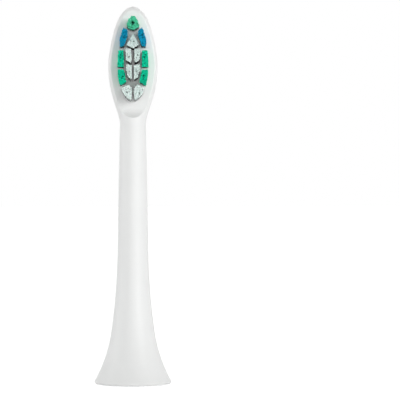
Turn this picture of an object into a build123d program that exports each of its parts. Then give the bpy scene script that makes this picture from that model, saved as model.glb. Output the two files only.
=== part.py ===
"""Snap-on brush head of an electric toothbrush, standing upright on its base rim.

Millimetres, +Z up along the drive shaft, bristles facing -Y. The origin is on the shaft axis in the
plane of the base rim.
"""

import os
from collections import namedtuple

from build123d import *

# Outside of the stem, as radii at heights above the base rim
base_radius = 9.2
base_slope = 0.56
base_edge = 0.55
skirt_radius = 6.78
skirt_height = 5.2
skirt_slope = 0.377156
shank_radius = 5.0
shank_height = 12.2
stem_radius = 3.58
stem_height = 29.5
upper_stem_radius = 3.3
upper_stem_height = 46.0
neck_radius = 3.02
neck_height = 59.2

# Outside of the head: rises are from the neck, drops are from the tip
head_length = 27.8
shoulder_half_width = 4.4
shoulder_rise = 5.95
head_half_width = 5.68
head_rise = 14.1
crown_half_width = 4.62
crown_drop = 6.7
brow_half_width = 2.9
brow_drop = 2.15
head_half_depth = 3.0
head_lean = 0.7
tip_fullness = 0.7
head_sections = 10

# Bristle face, cut flat across the front of the head and scooped out above the neck
face_setback = 2.11
face_rise = 4.45
scoop_radius = 3.2
face_edge_round = 0.25
overcut = 1.0

# Hollow skirt
skirt_wall = 1.25
skirt_depth = 13.5

# Coupling sleeve, with a bore for the drive shaft that is round below and D-shaped above
shaft_radius = 2.0
shaft_clearance = 0.05
shaft_flat = 1.1
round_bore_length = 10.2
relief_length = 0.8
relief_depth = 0.25
flat_bore_length = 9.0
lead_in = 0.35
sleeve_wall = 0.7
sleeve_clearance = 0.03
nose_length = 3.0
collar_thickness = 1.3
key_width = 0.9
key_height = 0.35
key_length = 9.0

# Spring clip, a bowed leaf that hangs over the top of the sleeve
clip_thickness = 0.25
clip_width = 2.2
clip_bow = 0.3
clip_hook = 0.7
clip_bend = 0.2
clip_end_gap = 1.4
clip_clearance = 0.05

# Bristle tufts, bundles that fill their sockets and stand out from the face by their heights
field_drop = 12.0
socket_depth = 2.6
tuft_clearance = 0.02
tuft_edge = 0.12
tip_tuft_height = 10.2
upper_edge_height = 9.6
lower_edge_height = 9.0
centre_height = 8.6
heel_height = 9.6

# Anchor strips, one across each socket with its ends bitten into the walls
anchor_thickness = 0.3
anchor_width = 1.5
anchor_bite = 0.2
anchor_fold = 0.4

# Places that follow from the sizes above
head_height = neck_height + head_rise
tip_height = neck_height + head_length
scoop_top = neck_height + face_rise
scoop_reach = face_setback + scoop_radius
field_height = tip_height - field_drop
anchor_setback = face_setback - socket_depth + anchor_fold
bore_radius = shaft_radius + shaft_clearance
sleeve_radius = bore_radius + sleeve_wall
sleeve_bottom = skirt_depth - collar_thickness - nose_length
relief_bottom = sleeve_bottom + round_bore_length
flat_bottom = relief_bottom + relief_length
sleeve_top = flat_bottom + flat_bore_length
clip_seat = shaft_flat + clip_bow + clip_thickness
pocket_top = sleeve_top + clip_thickness + clip_clearance

# Tuft outlines: corners about the middle of the bristle field, x to the right and z up. A belly is the
# middle of an arc that closes an outline from its last corner to its first.
Tuft = namedtuple("Tuft", "name corners belly height")
tip_corners = [(-1.42, 6.92), (-0.93, 8.34), (-0.43, 8.97), (0.43, 8.97), (0.93, 8.34), (1.42, 6.92)]
tip_belly = (0, 6.09)
kite_corners = [(0, 4.96), (1.34, 2.71), (0, 1.95), (-1.34, 2.71)]
upper_edge_corners = [(2.12, 6.44), (1.24, 5.85), (1.24, 4.72), (2.06, 2.37), (2.88, 2.31), (3.0, 3.73)]
middle_edge_corners = [(2.17, 1.25), (3.3, 1.3), (3.48, -2.25), (2.1, -2.25)]
lower_edge_corners = [(2.15, -2.98), (3.37, -2.98), (3.35, -4.47), (2.92, -6.48), (1.52, -5.76)]
centre_upper_corners = [(0.52, 1.68), (1.54, 1.68), (1.47, -0.74), (0.41, -1.35)]
centre_lower_corners = [(0.36, -2.08), (1.46, -1.96), (1.43, -2.99), (1.0, -4.63), (0.36, -5.1)]
heel_corners = [(0.4, -9.63), (0.36, -7.21), (1.02, -6.48), (2.39, -7.32)]
heel_belly = (1.67, -8.79)

middle_tufts = [
    Tuft("tip_tuft", tip_corners, tip_belly, tip_tuft_height),
    Tuft("centre_kite_tuft", kite_corners, None, centre_height),
]
right_tufts = [
    Tuft("upper_edge_tuft_right", upper_edge_corners, None, upper_edge_height),
    Tuft("middle_edge_tuft_right", middle_edge_corners, None, lower_edge_height),
    Tuft("lower_edge_tuft_right", lower_edge_corners, None, lower_edge_height),
    Tuft("centre_upper_tuft_right", centre_upper_corners, None, centre_height),
    Tuft("centre_lower_tuft_right", centre_lower_corners, None, centre_height),
    Tuft("heel_tuft_right", heel_corners, heel_belly, heel_height),
]


def stem_section(inset, bottom, top):
    """Half section of the stem between two heights, set in from its outside by a wall."""
    with BuildSketch() as profile:
        with BuildLine():
            base = (base_radius - inset, 0)
            flare = TangentArc(base, (skirt_radius - inset, skirt_height), tangent=(-base_slope, 1))
            shank = TangentArc(flare @ 1, (shank_radius - inset, shank_height), tangent=(-skirt_slope, 1))
            lower = TangentArc(shank @ 1, (stem_radius - inset, stem_height), tangent=shank % 1)
            upper = Line(lower @ 1, (upper_stem_radius - inset, upper_stem_height))
            Polyline(upper @ 1, (neck_radius - inset, neck_height), (0, neck_height), (0, 0), base)
        make_face()
        with Locations((0, bottom)):
            Rectangle(2 * base_radius, top - bottom, align=(Align.CENTER, Align.MIN), mode=Mode.INTERSECT)
    return profile.sketch


def head_side():
    """Side of the head from the neck round to the tip."""
    return Spline(
        (neck_radius, neck_height),
        (shoulder_half_width, neck_height + shoulder_rise),
        (head_half_width, head_height),
        (crown_half_width, tip_height - crown_drop),
        (brow_half_width, tip_height - brow_drop),
        (0, tip_height),
        tangents=((0, 1), (-1, 0)),
    )


def head_section(station):
    """Oval section of the head through a point of its side."""
    rise = min((station.Y - neck_height) / head_rise, 1)
    swell = rise * rise * (3 - 2 * rise)
    half_depth = neck_radius + (head_half_depth - neck_radius) * swell
    if station.Y > head_height:
        half_depth = head_half_depth * (station.X / head_half_width) ** tip_fullness
    with BuildSketch(Plane((0, -head_lean * swell, station.Y))) as section:
        with BuildLine():
            EllipticalCenterArc((0, 0), station.X, half_depth, start_angle=0, arc_size=180)
            EllipticalCenterArc((0, 0), station.X, half_depth, start_angle=180, arc_size=180)
        make_face()
    return section.sketch


def tuft_outline(tuft, growth=0):
    """Outline of a tuft at its place on the face, grown all round for its socket."""
    with BuildSketch() as outline:
        with BuildLine():
            Polyline(*tuft.corners)
            if tuft.belly:
                ThreePointArc(tuft.corners[-1], tuft.belly, tuft.corners[0])
            else:
                Line(tuft.corners[-1], tuft.corners[0])
        make_face()
        if growth:
            offset(amount=growth, kind=Kind.INTERSECTION)
    return Pos(0, field_height) * outline.sketch


def anchor_strip(tuft):
    """Metal strip on edge across the middle of a socket."""
    with BuildSketch() as span:
        add(tuft_outline(tuft, tuft_clearance))
        with Locations((0, span.sketch.bounding_box().center().Y)):
            Rectangle(2 * head_half_width, anchor_thickness, mode=Mode.INTERSECT)
    reach = span.sketch.bounding_box()
    with BuildPart() as strip:
        with BuildSketch(Plane.XZ.offset(anchor_setback)):
            with Locations((reach.center().X, reach.center().Y)):
                Rectangle(reach.size.X + 2 * anchor_bite, anchor_thickness)
        extrude(amount=anchor_width)
    return strip.part


def bristle_tuft(tuft, strip):
    """Bundle that stands on the floor of its socket, folded round its strip."""
    with BuildPart() as bundle:
        with BuildSketch(Plane.XZ.offset(face_setback - socket_depth)):
            add(tuft_outline(tuft))
        extrude(amount=socket_depth + tuft.height)
        chamfer(bundle.faces().sort_by(Axis.Y)[0].edges(), tuft_edge)
        add(strip, mode=Mode.SUBTRACT)
    return bundle.part


def write(piece, name):
    """Label a finished piece and write it to its own file."""
    piece.label = name
    export_step(piece, f"parts/{name}.step")


os.makedirs("parts", exist_ok=True)

middle_strips = [anchor_strip(tuft) for tuft in middle_tufts]
right_strips = [anchor_strip(tuft) for tuft in right_tufts]
left_strips = [mirror(strip, about=Plane.YZ) for strip in right_strips]

# Brush body: a turned stem, then a head that flattens and leans forward as it widens
with BuildPart() as brush_body:
    with BuildSketch(Plane.XZ):
        add(stem_section(0, 0, neck_height))
    revolve(axis=Axis.Z)
    side = head_side()
    sections = [head_section(side @ (index / head_sections)) for index in range(head_sections)]
    loft(sections=sections + [Vertex(0, -head_lean, tip_height)])
    chamfer(brush_body.faces().sort_by(Axis.Z)[0].edges(), base_edge)

    # Flat bristle face with the scoop below it
    with BuildSketch(Plane.YZ):
        with BuildLine():
            face_line = Line((-face_setback, tip_height + overcut), (-face_setback, scoop_top))
            scoop = TangentArc(face_line @ 1, (-scoop_reach, scoop_top - scoop_radius), tangent=(0, -1))
            Polyline(scoop @ 1, (-scoop_reach, tip_height + overcut), face_line @ 0)
        make_face()
    extrude(amount=head_half_width + overcut, both=True, mode=Mode.SUBTRACT)
    flat = brush_body.faces().filter_by(Plane.XZ).sort_by(Axis.Y)[0]
    scooped = brush_body.faces().filter_by(GeomType.CYLINDER)[0]
    rim = (flat.edges() + scooped.edges()).filter_by(GeomType.LINE, reverse=True)
    fillet(rim, face_edge_round)

    # Hollow skirt and the keyed pocket for the sleeve
    with BuildSketch(Plane.XZ):
        add(stem_section(skirt_wall, 0, skirt_depth))
    revolve(axis=Axis.Z, mode=Mode.SUBTRACT)
    with BuildSketch(Plane.XY.offset(skirt_depth)):
        Circle(sleeve_radius + sleeve_clearance)
    extrude(amount=pocket_top - skirt_depth, mode=Mode.SUBTRACT)
    with BuildSketch(Plane.XY.offset(skirt_depth)):
        with Locations((0, sleeve_radius)):
            Rectangle(key_width + 2 * sleeve_clearance, 2 * (key_height + sleeve_clearance))
    extrude(amount=key_length + sleeve_clearance, mode=Mode.SUBTRACT)

    # Sockets, with a slit in two walls of each for the ends of its strip
    with BuildSketch(Plane.XZ.offset(face_setback)):
        add([tuft_outline(tuft, tuft_clearance) for tuft in middle_tufts + right_tufts])
        mirror(about=Plane.YZ)
    extrude(amount=-socket_depth, mode=Mode.SUBTRACT)
    add(middle_strips + right_strips + left_strips, mode=Mode.SUBTRACT)
write(brush_body.part, "brush_body")

# Coupling sleeve: a keyed tube with a collar that plugs the taper of the skirt
with BuildPart() as coupling_sleeve:
    with BuildSketch(Plane.XY.offset(sleeve_bottom)):
        Circle(sleeve_radius)
    extrude(amount=sleeve_top - sleeve_bottom)
    with BuildSketch(Plane.XZ):
        add(stem_section(skirt_wall + sleeve_clearance, skirt_depth - collar_thickness, skirt_depth))
    revolve(axis=Axis.Z)
    with BuildSketch(Plane.XY.offset(skirt_depth)):
        with Locations((0, sleeve_radius)):
            Rectangle(key_width, 2 * key_height)
    extrude(amount=key_length)

    # Round bore, relief groove, then the D-shaped bore with the slot for the clip
    with BuildSketch(Plane.XY.offset(sleeve_bottom)):
        Circle(bore_radius)
    extrude(amount=round_bore_length, mode=Mode.SUBTRACT)
    with BuildSketch(Plane.XY.offset(relief_bottom)):
        Circle(bore_radius + relief_depth)
    extrude(amount=relief_length, mode=Mode.SUBTRACT)
    with BuildSketch(Plane.XY.offset(flat_bottom)):
        Circle(bore_radius)
        with Locations((0, -shaft_flat - shaft_clearance)):
            Rectangle(2 * bore_radius, bore_radius, align=(Align.CENTER, Align.MAX), mode=Mode.SUBTRACT)
        Rectangle(clip_width + 2 * clip_clearance, clip_seat, align=(Align.CENTER, Align.MAX))
    extrude(amount=flat_bore_length, mode=Mode.SUBTRACT)
    mouth = coupling_sleeve.edges().filter_by(GeomType.CIRCLE).group_by(Axis.Z)[0].sort_by(SortBy.RADIUS)[0]
    chamfer(mouth, lead_in)
write(coupling_sleeve.part, "coupling_sleeve")

# Spring clip: a hook over the top of the sleeve and a leaf bowed towards the shaft
leaf_rest = clip_thickness / 2 - clip_seat
leaf_bottom = flat_bottom + clip_end_gap
hook_height = sleeve_top + clip_thickness / 2
with BuildPart() as spring_clip:
    with BuildSketch(Plane.YZ):
        with BuildLine() as leaf:
            hook = Line((-clip_seat - clip_hook, hook_height), (leaf_rest, hook_height))
            bow = (leaf_rest + clip_bow, (hook_height + leaf_bottom) / 2)
            ThreePointArc(hook @ 1, bow, (leaf_rest, leaf_bottom))
        trace(leaf.line, clip_thickness)
    extrude(amount=clip_width / 2, both=True)
    bend = spring_clip.edges().filter_by(Axis.X).group_by(Axis.Z)[-1].sort_by(Axis.Y)[-1]
    fillet(bend, clip_bend)
write(spring_clip.part, "spring_clip")

# Anchor strips
with BuildPart() as tuft_anchors:
    add(middle_strips + right_strips + left_strips)
write(tuft_anchors.part, "tuft_anchors")

# Bristle tufts, the left-hand ones mirrored from the right
for tuft, strip in zip(middle_tufts, middle_strips):
    write(bristle_tuft(tuft, strip), tuft.name)
for tuft, strip in zip(right_tufts, right_strips):
    bundle = bristle_tuft(tuft, strip)
    write(bundle, tuft.name)
    write(mirror(bundle, about=Plane.YZ), tuft.name.replace("right", "left"))
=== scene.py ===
"""Brush head of an electric toothbrush, dressed for its picture.

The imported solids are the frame. Bundles of separate filaments replace the plain tufts, the mouldings and
the metal get their finishes, and a white studio is set up round them. The file is laid out as an add-on
and is run as a script.
"""

import math
import random
from collections import namedtuple

import bmesh
import bpy
from bpy.props import FloatProperty, FloatVectorProperty, IntProperty, PointerProperty
from mathutils import Matrix, Vector


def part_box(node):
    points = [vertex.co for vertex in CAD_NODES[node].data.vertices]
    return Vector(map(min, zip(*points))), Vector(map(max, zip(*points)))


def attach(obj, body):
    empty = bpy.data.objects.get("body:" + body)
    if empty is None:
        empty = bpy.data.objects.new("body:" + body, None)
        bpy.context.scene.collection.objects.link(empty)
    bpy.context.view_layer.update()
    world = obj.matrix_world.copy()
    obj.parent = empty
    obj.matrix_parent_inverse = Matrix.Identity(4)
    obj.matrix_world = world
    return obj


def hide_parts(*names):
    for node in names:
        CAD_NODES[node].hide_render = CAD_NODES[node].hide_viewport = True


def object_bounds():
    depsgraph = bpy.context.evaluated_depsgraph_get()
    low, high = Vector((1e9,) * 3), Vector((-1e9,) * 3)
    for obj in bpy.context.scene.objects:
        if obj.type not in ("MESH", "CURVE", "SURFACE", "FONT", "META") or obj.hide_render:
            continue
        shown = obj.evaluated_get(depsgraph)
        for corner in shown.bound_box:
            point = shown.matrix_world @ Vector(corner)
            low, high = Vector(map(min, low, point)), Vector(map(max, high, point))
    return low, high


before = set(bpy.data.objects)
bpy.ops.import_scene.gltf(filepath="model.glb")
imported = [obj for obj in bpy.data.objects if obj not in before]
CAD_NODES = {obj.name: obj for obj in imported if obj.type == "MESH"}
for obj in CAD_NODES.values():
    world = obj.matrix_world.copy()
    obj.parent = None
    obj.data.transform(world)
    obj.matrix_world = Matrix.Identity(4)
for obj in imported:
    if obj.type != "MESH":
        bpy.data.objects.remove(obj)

bl_info = {
    "name": "Electric toothbrush head",
    "version": (1, 0, 0),
    "blender": (4, 5, 0),
    "location": "View3D > Sidebar > Brush head",
    "description": "Dresses the brush head and sets up its studio",
    "category": "Object",
}

MM = 0.001
CAD_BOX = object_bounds()

TIP_TUFTS = ("tip_tuft",)
BLUE_TUFTS = ("upper_edge_tuft_left", "upper_edge_tuft_right")
GREEN_TUFTS = (
    "middle_edge_tuft_left",
    "middle_edge_tuft_right",
    "lower_edge_tuft_left",
    "lower_edge_tuft_right",
)
CENTRE_TUFTS = (
    "centre_kite_tuft",
    "centre_upper_tuft_left",
    "centre_upper_tuft_right",
    "centre_lower_tuft_left",
    "centre_lower_tuft_right",
)
HEEL_TUFTS = ("heel_tuft_left", "heel_tuft_right")

# Plastics: how strongly the surface shines, how much light goes into it and how deep
Skin = namedtuple("Skin", "shine scatter depth")
SATIN_SKIN = Skin(shine=0.95, scatter=0.25, depth=0.6 * MM)
NYLON_SKIN = Skin(shine=0.12, scatter=0.3, depth=0.1 * MM)
POLYPROPYLENE_IOR = 1.49
ACETAL_IOR = 1.48
NYLON_IOR = 1.53

# Moulded plastic: tone of the darkest cloud and the span of the noise over which it fades, then what the grain
# adds to the roughness, the strength of its bump and its height as a share of its size
CLOUD_DETAIL = 2.0
CLOUD_TONE = 0.985
CLOUD_SPAN = (0.3, 0.7)
GRAIN_DETAIL = 3.0
GRAIN_GLOSS = 0.05
GRAIN_BUMP = 0.06
GRAIN_HEIGHT = 0.1

# Drawn metal: how far streaks are drawn out, their darkest and lightest tone, what they add to the roughness
STREAK_DETAIL = 4.0
STREAK_STRETCH = (1.0, 1.0, 0.05)
STREAK_TONES = (0.8, 1.1)
STREAK_GLOSS = 0.08

# Nylon: painted shade on a shaft, as a share of its colour, and where along a filament its end takes over from
# the shaft
SHAFT_SHADE = 0.9
END_SPAN = (0.96, 0.99)

# Sockets of a Mix node that mixes colours, which share their names with its other kinds
MIX_FACTOR = 0
MIX_FIRST = 6
MIX_SECOND = 7
MIX_RESULT = 2

# Tuft nylon, dyed and with painted shade: tones of its dullest and its brightest filament, and the painted
# shade of the shafts along its lower edge, roughness
DyeAndShade = namedtuple("DyeAndShade", "dull bright underside roughness")
TIP_DYE = DyeAndShade(dull=0.66, bright=1.16, underside=0.8, roughness=0.35)
BLUE_DYE = DyeAndShade(dull=0.66, bright=1.16, underside=0.6, roughness=0.35)
GREEN_DYE = DyeAndShade(dull=0.66, bright=1.16, underside=0.5, roughness=0.35)
UNDYED = DyeAndShade(dull=0.88, bright=1.25, underside=0.015, roughness=0.3)

# Form of a tuft: how far its tips part at the eye, how far off the middle the eye may lie as a share of the
# tuft, how much higher the lower side of its root stands, how far its tips stand out past the outline, and
# how much of the painted shade on the shafts of its lower edge is lost towards the tips
Form = namedtuple("Form", "eye stray drop reach paling")
TIP_FORM = Form(eye=0.26 * MM, stray=0.0, drop=0.4 * MM, reach=0.05 * MM, paling=0.0)
EDGE_FORM = Form(eye=0.1 * MM, stray=0.12, drop=0.2 * MM, reach=0.05 * MM, paling=0.0)
CENTRE_FORM = Form(eye=0.1 * MM, stray=0.12, drop=-0.08 * MM, reach=0.12 * MM, paling=0.0)
HEEL_FORM = Form(eye=0.1 * MM, stray=0.12, drop=-0.25 * MM, reach=0.12 * MM, paling=0.9)

# Filament: rounding of its end as a share of its radius, and how many pitches deep the lower edge of a tuft
# is, where shafts get painted shade
END_ROUND = 0.45
END_SEGMENTS = 2
SMOOTH_ANGLE = math.radians(60)
UNDERSIDE_PITCHES = 1.2

# Stage, in metres: the paper as it lights the object, as it takes the shadow and by how much it glows, the way
# to the bright side of the room and the span of directions over which it brightens, and the lamps
FLOOR_SIZE = 6.0
PAPER_BOUNCE = "#E6E6E6"
PAPER_SEEN = "#A8A8A8"
PAPER_GLOW = 0.92
BRIGHT_WAY = (-0.3, 0.95, 0.0)
BRIGHT_SPAN = (-0.1, 0.5)
SOFT_BOX = 0.6
SMALL_LAMP = 0.12
KEY_PLACE = (0.63, -0.9, 0.14)
RIGHT_PLACE = (1.1, 0.0, 0.14)
FRONT_PLACE = (0.0, -1.1, 0.03)
LEFT_PLACE = (-1.1, 0.0, 0.14)
SENSOR_WIDTH_MM = 36.0


def linear(hex_colour):
    """Linear RGBA of an sRGB hex colour."""
    channels = [int(hex_colour[start : start + 2], 16) / 255 for start in (1, 3, 5)]
    return [c / 12.92 if c <= 0.04045 else ((c + 0.055) / 1.055) ** 2.4 for c in channels] + [1.0]


def colour_property(name, description, hex_colour):
    """A colour that a user would change."""
    return FloatVectorProperty(
        name=name,
        description=description,
        subtype="COLOR",
        size=4,
        min=0.0,
        max=1.0,
        default=linear(hex_colour),
    )


def length_property(name, description, millimetres):
    """A length that a user would change."""
    return FloatProperty(
        name=name,
        description=description,
        subtype="DISTANCE",
        unit="LENGTH",
        min=0.0,
        default=millimetres * MM,
    )


def power_property(name, description, watts):
    """The power of a lamp."""
    return FloatProperty(name=name, description=description, unit="POWER", default=watts)


def strength_property(name, description, strength):
    """The strength of a part of the room, where 1 is white."""
    return FloatProperty(name=name, description=description, min=0.0, default=strength)


class BristleSettings(bpy.types.PropertyGroup):
    """Sizes and dyes of the filaments."""

    diameter: length_property("Diameter", "Thickness of a filament", 0.2)
    pitch: length_property("Pitch", "Distance between neighbouring filaments at their tips", 0.195)
    wander: length_property("Wander", "Most that a filament strays from its place in the packing", 0.03)
    height_scatter: length_property("Height scatter", "Most that a tip stands above or below its tuft", 0.05)
    eye_reach: length_property("Eye reach", "Distance from its rim at which a tuft's eye fades", 0.2)
    root_inset: length_property("Root inset", "How much narrower a tuft is at its root, on each side", 0.12)
    missing: FloatProperty(
        name="Missing",
        description="Share of places inside the packing that hold no filament",
        subtype="FACTOR",
        min=0.0,
        max=0.5,
        default=0.08,
    )
    sides: IntProperty(name="Sides", description="Sides of a filament", min=5, max=16, default=8)
    seed: IntProperty(name="Seed", description="Start of the random draws", default=7)
    tip_dye: colour_property("Tip dye", "Colour of the tuft at the tip", "#5AE2B4")
    blue_dye: colour_property("Blue dye", "Colour of the two slanted tufts", "#00ABD4")
    green_dye: colour_property("Green dye", "Colour of the edge tufts", "#00E6B7")
    clear: colour_property("Undyed", "Colour of the undyed tufts at their tips", "#EEFFFA")


class FinishSettings(bpy.types.PropertyGroup):
    """Colours of the mouldings and the metal."""

    body: colour_property("Body", "Colour of the moulded body", "#F1F2F1")
    sleeve: colour_property("Sleeve", "Colour of the coupling sleeve", "#E3E2DC")
    steel: colour_property("Steel", "Colour of the spring clip", "#B9BABC")
    brass: colour_property("Brass", "Colour of the anchor strips", "#C9A35A")


class StageSettings(bpy.types.PropertyGroup):
    """Camera, lamps and room."""

    lens: FloatProperty(name="Lens", description="Focal length in millimetres", min=20.0, default=208.0)
    camera_distance: length_property("Camera distance", "From the stem to the camera", 534.0)
    camera_height: length_property("Camera height", "From the floor to the camera", 48.0)
    aim_right: length_property("Aim right", "From the stem to the middle of the picture", 15.5)
    aim_height: length_property("Aim height", "From the floor to the middle of the picture", 42.4)
    key_power: power_property("Key", "Soft box in front, to the right", 6.8)
    right_power: power_property("Right", "Soft box to the right", 1.4)
    front_power: power_property("Front", "Small lamp behind the camera", 2.5)
    left_power: power_property("Left", "Soft box to the left", 3.6)
    fill: strength_property("Fill", "Strength of the room in front", 0.24)
    backdrop: strength_property("Backdrop", "Strength of the room behind", 1.0)


class BrushHeadSettings(bpy.types.PropertyGroup):
    """All settings of the brush head."""

    bristles: PointerProperty(type=BristleSettings)
    finishes: PointerProperty(type=FinishSettings)
    stage: PointerProperty(type=StageSettings)


def add_node(tree, kind, inputs=None, **settings):
    """A shader node with its settings, its inputs set to values or linked to other nodes' outputs."""
    node = tree.nodes.new(kind)
    for name, value in settings.items():
        setattr(node, name, value)
    for socket, value in (inputs or {}).items():
        if isinstance(value, bpy.types.NodeSocket):
            tree.links.new(value, node.inputs[socket])
        else:
            node.inputs[socket].default_value = value
    return node


def is_shown(tree):
    """1 for a ray by which the background is seen: straight, as a reflection or through something clear."""
    ray = add_node(tree, "ShaderNodeLightPath")
    mirrored = add_node(
        tree,
        "ShaderNodeMath",
        {0: ray.outputs["Is Camera Ray"], 1: ray.outputs["Is Glossy Ray"]},
        operation="MAXIMUM",
    )
    shown = add_node(
        tree,
        "ShaderNodeMath",
        {0: mirrored.outputs[0], 1: ray.outputs["Is Transmission Ray"]},
        operation="MAXIMUM",
    )
    return shown.outputs[0]


def new_material(name, **shader_inputs):
    """A material with a bare shader. Returns the material, its node tree and the shader."""
    material = bpy.data.materials.new(name)
    material.use_nodes = True
    tree = material.node_tree
    shader = tree.nodes["Principled BSDF"]
    for socket, value in shader_inputs.items():
        shader.inputs[socket].default_value = value
    return material, tree, shader


def set_skin(shader, skin):
    """Give a plastic its shine and let light into it."""
    shader.inputs["Specular IOR Level"].default_value = skin.shine
    shader.inputs["Subsurface Weight"].default_value = skin.scatter
    shader.inputs["Subsurface Radius"].default_value = (1.0, 1.0, 1.0)
    shader.inputs["Subsurface Scale"].default_value = skin.depth


def shaded(colour, factor):
    """A colour made lighter or darker."""
    return [min(channel * factor, 1.0) for channel in colour[:3]] + [1.0]


def moulded_plastic(name, colour, cloud_mm, grain_mm, roughness, ior, skin=None):
    """Injection-moulded plastic: even colour with faint clouds, and the fine grain of a blasted mould."""
    material, tree, shader = new_material(name, IOR=ior)
    if skin:
        set_skin(shader, skin)
    place = add_node(tree, "ShaderNodeTexCoord").outputs["Object"]
    clouds = add_node(
        tree,
        "ShaderNodeTexNoise",
        {"Vector": place, "Scale": 1 / (cloud_mm * MM), "Detail": CLOUD_DETAIL},
    )
    tone = add_node(tree, "ShaderNodeValToRGB", {"Fac": clouds.outputs["Fac"]})
    dark, light = tone.color_ramp.elements
    dark.position, light.position = CLOUD_SPAN
    dark.color, light.color = shaded(colour, CLOUD_TONE), colour
    tree.links.new(tone.outputs["Color"], shader.inputs["Base Color"])
    grain = add_node(
        tree,
        "ShaderNodeTexNoise",
        {"Vector": place, "Scale": 1 / (grain_mm * MM), "Detail": GRAIN_DETAIL},
    ).outputs["Fac"]
    gloss = add_node(
        tree,
        "ShaderNodeMapRange",
        {"Value": grain, "To Min": roughness - GRAIN_GLOSS, "To Max": roughness + GRAIN_GLOSS},
    )
    tree.links.new(gloss.outputs["Result"], shader.inputs["Roughness"])
    bump = add_node(
        tree,
        "ShaderNodeBump",
        {"Height": grain, "Strength": GRAIN_BUMP, "Distance": GRAIN_HEIGHT * grain_mm * MM},
    )
    tree.links.new(bump.outputs["Normal"], shader.inputs["Normal"])
    return material


def drawn_metal(name, colour, streak_mm, roughness):
    """Rolled or drawn strip: streaks along its length from the rolls or the die."""
    material, tree, shader = new_material(name, Metallic=1.0)
    place = add_node(tree, "ShaderNodeTexCoord").outputs["Object"]
    stretch = add_node(tree, "ShaderNodeMapping", {"Vector": place, "Scale": STREAK_STRETCH})
    streaks = add_node(
        tree,
        "ShaderNodeTexNoise",
        {"Vector": stretch.outputs["Vector"], "Scale": 1 / (streak_mm * MM), "Detail": STREAK_DETAIL},
    ).outputs["Fac"]
    tone = add_node(tree, "ShaderNodeValToRGB", {"Fac": streaks})
    dark, light = tone.color_ramp.elements
    dark.color, light.color = (shaded(colour, factor) for factor in STREAK_TONES)
    tree.links.new(tone.outputs["Color"], shader.inputs["Base Color"])
    gloss = add_node(
        tree,
        "ShaderNodeMapRange",
        {"Value": streaks, "To Min": roughness - STREAK_GLOSS, "To Max": roughness + STREAK_GLOSS},
    )
    tree.links.new(gloss.outputs["Result"], shader.inputs["Roughness"])
    return material


def nylon(name, colour, dye):
    """Extruded nylon filament, its shaft painted a little darker than its rounded end as shade.

    Filaments along the lower edge of a tuft get darker shafts as painted shade. A filament's tint sets how
    dull or bright it is, a random tone that is darker round the tuft's eye as painted shade.
    """
    material, tree, shader = new_material(name, IOR=NYLON_IOR, Roughness=dye.roughness)
    set_skin(shader, NYLON_SKIN)
    along, lower, tint = (
        add_node(tree, "ShaderNodeAttribute", attribute_name=value).outputs["Fac"]
        for value in ("along", "lower", "tint")
    )
    # The shafts get painted shade, much deeper along a tuft's lower edge
    tone = add_node(tree, "ShaderNodeValToRGB", {"Fac": lower})
    shaded_shaft, underside = tone.color_ramp.elements
    shaded_shaft.color = shaded(colour, SHAFT_SHADE)
    underside.color = shaded(colour, dye.underside)
    end_start, end_full = END_SPAN
    end = add_node(
        tree,
        "ShaderNodeMapRange",
        {"Value": along, "From Min": end_start, "From Max": end_full},
    )
    # Along the filament the painted shade of the shaft gives way to the full colour at the end
    depth = add_node(
        tree,
        "ShaderNodeMix",
        {MIX_FACTOR: end.outputs["Result"], MIX_FIRST: tone.outputs["Color"], MIX_SECOND: colour},
        data_type="RGBA",
    )
    brightness = add_node(
        tree,
        "ShaderNodeMapRange",
        {"Value": tint, "To Min": dye.dull, "To Max": dye.bright},
    )
    dyed = add_node(
        tree,
        "ShaderNodeHueSaturation",
        {"Color": depth.outputs[MIX_RESULT], "Value": brightness.outputs["Result"]},
    )
    tree.links.new(dyed.outputs["Color"], shader.inputs["Base Color"])
    return material


def set_finish(node, material):
    """Give a CAD node its finish."""
    slots = CAD_NODES[node].data.materials
    slots.clear()
    slots.append(material)


def store(mesh, name, values):
    """Keep a value at each vertex of a mesh, for its material to read."""
    mesh.attributes.new(name, "FLOAT", "POINT").data.foreach_set("value", values)


def model_filament(settings, length):
    """One upright filament with a rounded end."""
    radius = settings.diameter / 2
    bpy.ops.object.select_all(action="DESELECT")
    bpy.ops.mesh.primitive_cylinder_add(
        vertices=settings.sides, radius=radius, depth=length, location=(0, 0, length / 2)
    )
    bpy.ops.object.transform_apply(location=True, rotation=False, scale=False)
    filament = bpy.context.object
    bpy.ops.object.mode_set(mode="EDIT")
    bpy.ops.mesh.select_mode(type="EDGE")
    bpy.ops.mesh.select_all(action="DESELECT")
    shape = bmesh.from_edit_mesh(filament.data)
    for edge in shape.edges:
        edge.select_set(all(vertex.co.z > length / 2 for vertex in edge.verts))
    bmesh.update_edit_mesh(filament.data)
    bpy.ops.mesh.bevel(offset=END_ROUND * radius, segments=END_SEGMENTS, affect="EDGES")
    bpy.ops.object.mode_set(mode="OBJECT")
    bpy.ops.object.shade_smooth_by_angle(angle=SMOOTH_ANGLE)
    return filament


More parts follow.
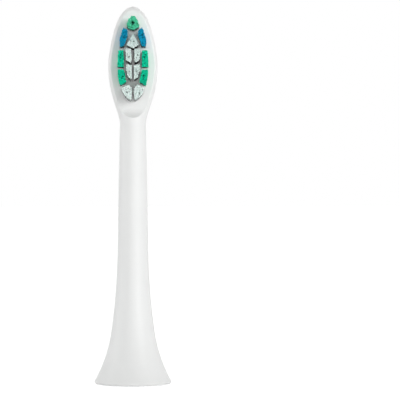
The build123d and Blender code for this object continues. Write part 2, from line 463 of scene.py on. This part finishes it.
def filaments_of(solid, settings, draws, form):
    """Root, tip, tint and side of each filament of a tuft: a loose hexagonal packing of the solid's outline.

    The tips part round an eye near the middle, where the tuft is folded over its anchor strip, and stand out
    past the outline by the reach. The root is narrower, and its lower side stands higher by the drop, or
    lower where that is negative. Places inside the packing may be empty, but none at its rim.
    """
    lowest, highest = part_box(solid.name)
    middle = (lowest + highest) / 2
    size = highest - lowest
    offset = Vector((draws.uniform(-1, 1) * size.x, 0, draws.uniform(-1, 1) * size.z))
    parting = middle + offset * form.stray
    pitch = settings.pitch
    inset = settings.root_inset
    root_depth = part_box("tuft_anchors")[0].y
    inward = Vector((0, 1, 0))
    sides = [Vector(way) * form.reach for way in ((1, 0, 0), (-1, 0, 0), (0, 0, 1), (0, 0, -1))]
    row_height = pitch * math.sqrt(3) / 2
    # A place before the box and two past it, because tips may stand outside the outline
    rows = range(-1, int(size.z / row_height) + 3)
    columns = range(-1, int(size.x / pitch) + 3)
    for row in rows:
        for column in columns:
            x = lowest.x + (column - row % 2 / 2) * pitch + draws.uniform(-1, 1) * settings.wander
            z = lowest.z + row * row_height + draws.uniform(-1, 1) * settings.wander
            y = lowest.y + draws.uniform(-1, 1) * settings.height_scatter
            tint = draws.random()
            start = Vector((x, lowest.y - pitch, z))
            hits = [solid.ray_cast(start + side, inward)[0] for side in sides]
            left_out = draws.random() < settings.missing
            if not any(hits) or (left_out and all(hits)):
                continue
            root = Vector(
                (
                    middle.x + (x - middle.x) * (1 - 2 * inset / size.x),
                    root_depth,
                    highest.z - inset - (highest.z - z) * (1 - (inset + form.drop) / size.z),
                )
            )
            off = Vector((x - parting.x, 0, z - parting.z))
            fading = math.exp(-((off.length / (settings.eye_reach + form.eye)) ** 2))
            tip = Vector((x, y, z)) + off.normalized() * form.eye * fading
            below = start - Vector((0, 0, UNDERSIDE_PITCHES * pitch))
            lower = not solid.ray_cast(below, inward)[0]
            # Near the eye the random tint is darkened as painted shade of the parted tips
            yield root, tip, tint * (1 - fading), float(lower)


def grow_tuft(node, material, settings, form):
    """Replace a plain tuft by a bundle of filaments."""
    solid = CAD_NODES[node]
    draws = random.Random(f"{node} {settings.seed}")
    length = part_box("tuft_anchors")[0].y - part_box(node)[0].y
    filament = model_filament(settings, length)
    along = [vertex.co.z / length for vertex in filament.data.vertices]
    store(filament.data, "along", along)
    strands = []
    for root, tip, tint, lower in filaments_of(solid, settings, draws, form):
        strand = filament.copy()
        strand.data = filament.data.copy()
        lean = (tip - root).to_track_quat("Z", "Y")
        strand.matrix_world = Matrix.LocRotScale(root, lean, (1, 1, (tip - root).length / length))
        # tint carries a random tone, darkened round the eye as painted shade
        store(strand.data, "tint", [tint] * len(along))
        # lower carries the painted shade of a shaft on the tuft's lower edge, fading towards the tip by the
        # form's paling
        store(strand.data, "lower", [lower * (1 - form.paling * part) for part in along])
        bpy.context.scene.collection.objects.link(strand)
        strands.append(strand)
    bpy.data.objects.remove(filament)
    bpy.ops.object.select_all(action="DESELECT")
    for strand in strands:
        strand.select_set(True)
    bpy.context.view_layer.objects.active = strands[0]
    bpy.ops.object.join()
    bpy.ops.object.transform_apply(location=True, rotation=True, scale=True)
    tuft = bpy.context.object
    tuft.name = f"{node}_filaments"
    tuft.data.name = tuft.name
    tuft.data.materials.clear()
    tuft.data.materials.append(material)
    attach(tuft, "root")
    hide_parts(node)


class BRUSHHEAD_OT_body(bpy.types.Operator):
    """Give the moulded body its finish"""

    bl_idname = "brush_head.body"
    bl_label = "Body"

    def execute(self, context):
        finishes = context.scene.brush_head.finishes
        # Polypropylene from a fine-blasted mould: white, satin, and a little light goes into it. The grain is
        # drawn coarser than the real one, about 0.05 mm, so that it shows
        satin = moulded_plastic(
            "polypropylene_satin_white",
            list(finishes.body),
            cloud_mm=9.0,
            grain_mm=0.3,
            roughness=0.5,
            ior=POLYPROPYLENE_IOR,
            skin=SATIN_SKIN,
        )
        set_finish("brush_body", satin)
        return {"FINISHED"}


class BRUSHHEAD_OT_coupling(bpy.types.Operator):
    """Give the coupling sleeve, its spring clip and the anchor strips their finishes"""

    bl_idname = "brush_head.coupling"
    bl_label = "Coupling and anchors"

    def execute(self, context):
        finishes = context.scene.brush_head.finishes
        # Acetal as it comes, moulded: a touch warmer and slicker than the body, its grain drawn coarser too
        acetal = moulded_plastic(
            "acetal_natural",
            list(finishes.sleeve),
            cloud_mm=5.0,
            grain_mm=0.4,
            roughness=0.3,
            ior=ACETAL_IOR,
        )
        # Spring strip with the bright lines of the rolls, drawn coarser than the real ones so that they show
        steel = drawn_metal("spring_steel_rolled", list(finishes.steel), streak_mm=0.12, roughness=0.3)
        # Brass strip, a little duller, with the lines of the die, as coarse
        brass = drawn_metal("brass_drawn", list(finishes.brass), streak_mm=0.1, roughness=0.35)
        set_finish("coupling_sleeve", acetal)
        set_finish("spring_clip", steel)
        set_finish("tuft_anchors", brass)
        return {"FINISHED"}


class BRUSHHEAD_OT_tip_tuft(bpy.types.Operator):
    """Make the green tuft at the tip"""

    bl_idname = "brush_head.tip_tuft"
    bl_label = "Tip tuft"

    def execute(self, context):
        settings = context.scene.brush_head.bristles
        # Nylon dyed a soft leaf green, with painted shade round the eye of the tuft
        dyed = nylon("nylon_leaf_green", list(settings.tip_dye), TIP_DYE)
        for node in TIP_TUFTS:
            grow_tuft(node, dyed, settings, TIP_FORM)
        return {"FINISHED"}


class BRUSHHEAD_OT_blue_tufts(bpy.types.Operator):
    """Make the slanted blue tufts"""

    bl_idname = "brush_head.blue_tufts"
    bl_label = "Blue tufts"

    def execute(self, context):
        settings = context.scene.brush_head.bristles
        # Nylon dyed a deep blue, mottled from filament to filament
        dyed = nylon("nylon_blue", list(settings.blue_dye), BLUE_DYE)
        for node in BLUE_TUFTS:
            grow_tuft(node, dyed, settings, EDGE_FORM)
        return {"FINISHED"}


class BRUSHHEAD_OT_green_tufts(bpy.types.Operator):
    """Make the green tufts at the edges"""

    bl_idname = "brush_head.green_tufts"
    bl_label = "Green tufts"

    def execute(self, context):
        settings = context.scene.brush_head.bristles
        # Nylon dyed a strong sea green, mottled from filament to filament
        dyed = nylon("nylon_sea_green", list(settings.green_dye), GREEN_DYE)
        for node in GREEN_TUFTS:
            grow_tuft(node, dyed, settings, EDGE_FORM)
        return {"FINISHED"}


class BRUSHHEAD_OT_clear_tufts(bpy.types.Operator):
    """Make the undyed tufts at the centre and the heel"""

    bl_idname = "brush_head.clear_tufts"
    bl_label = "Undyed tufts"

    def execute(self, context):
        settings = context.scene.brush_head.bristles
        # Undyed nylon: bright at its ends, its shafts painted a little darker as shade, and nearly black as
        # painted shade along a tuft's lower edge
        undyed = nylon("nylon_undyed", list(settings.clear), UNDYED)
        for nodes, form in ((CENTRE_TUFTS, CENTRE_FORM), (HEEL_TUFTS, HEEL_FORM)):
            for node in nodes:
                grow_tuft(node, undyed, settings, form)
        return {"FINISHED"}


def aim(obj, place, target):
    """Put a camera or a lamp at a place, pointing at a target."""
    obj.location = place
    obj.rotation_euler = (Vector(target) - Vector(place)).to_track_quat("-Z", "Y").to_euler()


def soft_box(name, place, target, side, power):
    """A square soft box, out of sight of the camera."""
    lamp = bpy.data.lights.new(name, "AREA")
    lamp.size = side
    lamp.energy = power
    box = bpy.data.objects.new(name, lamp)
    box.visible_camera = False
    bpy.context.scene.collection.objects.link(box)
    aim(box, place, target)


class BRUSHHEAD_OT_stage(bpy.types.Operator):
    """Set up the floor, the white room, the lamps and the camera"""

    bl_idname = "brush_head.stage"
    bl_label = "Stage"

    def execute(self, context):
        settings = context.scene.brush_head.stage
        scene = context.scene
        scene.view_settings.view_transform = "Standard"

        # Floor: white paper that keeps a faint shadow
        bpy.ops.object.select_all(action="DESELECT")
        bpy.ops.mesh.primitive_plane_add(size=FLOOR_SIZE)
        floor = context.object
        floor.name = "floor"
        paper = bpy.data.materials.new("paper_white")
        paper.use_nodes = True
        tree = paper.node_tree
        tree.nodes.remove(tree.nodes["Principled BSDF"])
        bounce = add_node(tree, "ShaderNodeBsdfDiffuse", {"Color": linear(PAPER_BOUNCE)})
        faint = add_node(tree, "ShaderNodeBsdfDiffuse", {"Color": linear(PAPER_SEEN)})
        glow = add_node(tree, "ShaderNodeEmission", {"Strength": PAPER_GLOW})
        seen = add_node(tree, "ShaderNodeAddShader", {0: faint.outputs[0], 1: glow.outputs[0]})
        mix = add_node(
            tree,
            "ShaderNodeMixShader",
            {0: is_shown(tree), 1: bounce.outputs[0], 2: seen.outputs[0]},
        )
        tree.links.new(mix.outputs[0], tree.nodes["Material Output"].inputs["Surface"])
        floor.data.materials.append(paper)

        # White room: white where it is seen, and as a light brighter behind and to the left than in front
        room = bpy.data.worlds.new("white_room")
        room.use_nodes = True
        tree = room.node_tree
        backdrop = tree.nodes["Background"]
        backdrop.inputs["Color"].default_value = (1.0, 1.0, 1.0, 1.0)
        way = add_node(tree, "ShaderNodeTexCoord").outputs["Generated"]
        behind = add_node(tree, "ShaderNodeVectorMath", {0: way, 1: BRIGHT_WAY}, operation="DOT_PRODUCT")
        bright_start, bright_full = BRIGHT_SPAN
        light = add_node(
            tree,
            "ShaderNodeMapRange",
            {
                "Value": behind.outputs["Value"],
                "From Min": bright_start,
                "From Max": bright_full,
                "To Min": settings.fill,
                "To Max": settings.backdrop,
            },
        )
        strength = add_node(
            tree,
            "ShaderNodeMapRange",
            {"Value": is_shown(tree), "To Min": light.outputs["Result"], "To Max": 1.0},
        )
        tree.links.new(strength.outputs["Result"], backdrop.inputs["Strength"])
        scene.world = room

        # Lamps: soft boxes in front and at both sides, and a small lamp behind the camera that reaches
        # between the tufts
        middle = Vector((0, 0, (CAD_BOX[0].z + CAD_BOX[1].z) / 2))
        soft_box("key", KEY_PLACE, middle, SOFT_BOX, settings.key_power)
        soft_box("right", RIGHT_PLACE, middle, SOFT_BOX, settings.right_power)
        soft_box("front", FRONT_PLACE, middle, SMALL_LAMP, settings.front_power)
        soft_box("left", LEFT_PLACE, middle, SOFT_BOX, settings.left_power)

        # Camera
        lens = bpy.data.cameras.new("camera")
        lens.lens = settings.lens
        lens.sensor_width = SENSOR_WIDTH_MM
        camera = bpy.data.objects.new("camera", lens)
        scene.collection.objects.link(camera)
        aim(
            camera,
            (0, -settings.camera_distance, settings.camera_height),
            (settings.aim_right, 0, settings.aim_height),
        )
        scene.camera = camera
        return {"FINISHED"}


class BRUSHHEAD_PT_panel(bpy.types.Panel):
    """Steps and settings of the brush head"""

    bl_idname = "BRUSHHEAD_PT_panel"
    bl_label = "Brush head"
    bl_space_type = "VIEW_3D"
    bl_region_type = "UI"
    bl_category = "Brush head"

    def draw(self, context):
        settings = context.scene.brush_head
        for step in STEPS:
            self.layout.operator(step.bl_idname)
        for group in (settings.bristles, settings.finishes, settings.stage):
            box = self.layout.box()
            for name in group.bl_rna.properties.keys():
                if name not in ("rna_type", "name"):
                    box.prop(group, name)


STEPS = (
    BRUSHHEAD_OT_body,
    BRUSHHEAD_OT_coupling,
    BRUSHHEAD_OT_tip_tuft,
    BRUSHHEAD_OT_blue_tufts,
    BRUSHHEAD_OT_green_tufts,
    BRUSHHEAD_OT_clear_tufts,
    BRUSHHEAD_OT_stage,
)
CLASSES = (
    BristleSettings,
    FinishSettings,
    StageSettings,
    BrushHeadSettings,
    *STEPS,
    BRUSHHEAD_PT_panel,
)


def register():
    """Add the classes and the scene's settings."""
    for cls in CLASSES:
        bpy.utils.register_class(cls)
    bpy.types.Scene.brush_head = PointerProperty(type=BrushHeadSettings)


def unregister():
    """Take the settings and the classes away again."""
    del bpy.types.Scene.brush_head
    for cls in reversed(CLASSES):
        bpy.utils.unregister_class(cls)


def main():
    """Make the pieces and the stage in order."""
    register()
    bpy.ops.brush_head.body()
    bpy.ops.brush_head.coupling()
    bpy.ops.brush_head.tip_tuft()
    bpy.ops.brush_head.blue_tufts()
    bpy.ops.brush_head.green_tufts()
    bpy.ops.brush_head.clear_tufts()
    bpy.ops.brush_head.stage()


if __name__ == "__main__":
    main()
